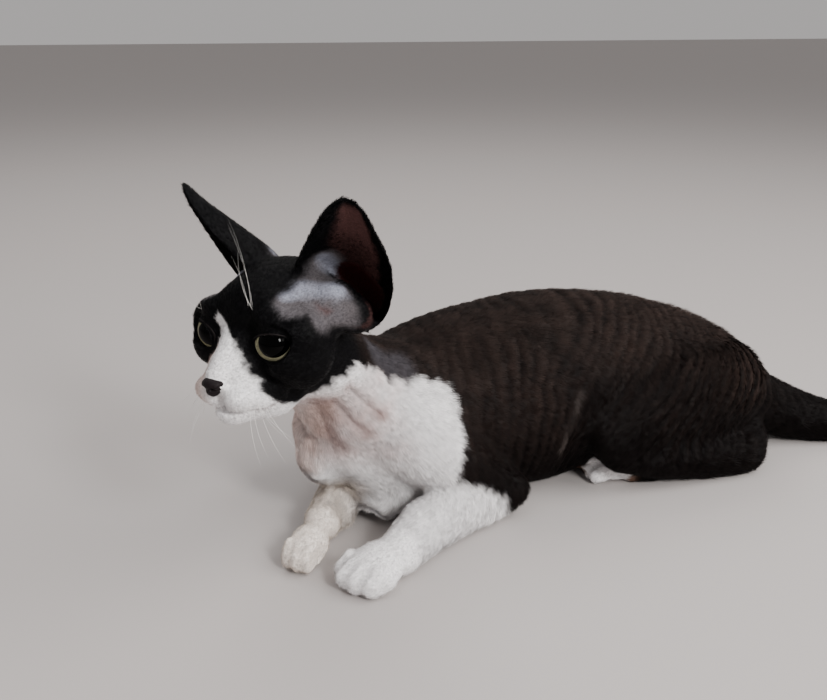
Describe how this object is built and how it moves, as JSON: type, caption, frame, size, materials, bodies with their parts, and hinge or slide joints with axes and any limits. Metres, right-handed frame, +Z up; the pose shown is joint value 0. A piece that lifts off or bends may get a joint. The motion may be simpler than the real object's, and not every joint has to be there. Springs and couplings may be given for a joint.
{
  "type": "cat",
  "caption": "Life-size Devon Rex cat lying on its chest with forelegs out, head raised and turned to its left, large cupped ears, still and without joints.",
  "frame": {"origin": "middle of the flat on which the belly rests, on the floor", "axes": "-X from the rump towards the breast, -Y towards the cat's left, +Z up from the floor"},
  "size_m": [0.7127, 0.2042, 0.2479],
  "materials": {
    "black_coat": "short dense wavy fur, brownish black",
    "white_coat": "short dense wavy fur, creamy white",
    "bare_skin": "thin-haired brown skin of the ears",
    "nose_leather": "moist black",
    "eye": "wet, olive iris with a wide pupil"
  },
  "bodies": {
    "root": {"torso": "black_coat", "hindleg_left": "black_coat", "hindleg_right": "black_coat", "tail_base": "black_coat", "tail_middle": "black_coat", "tail_tip": "black_coat", "head": "black_coat", "neck": "white_coat", "foreleg_left": "white_coat", "foreleg_right": "white_coat", "forepaw_left": "white_coat", "forepaw_right": "white_coat", "hindfoot_left": "white_coat", "hindfoot_right": "white_coat", "ear_left": "bare_skin", "ear_right": "bare_skin", "nose": "nose_leather", "eye_left": "eye", "eye_right": "eye"}
  },
  "joints": []
}
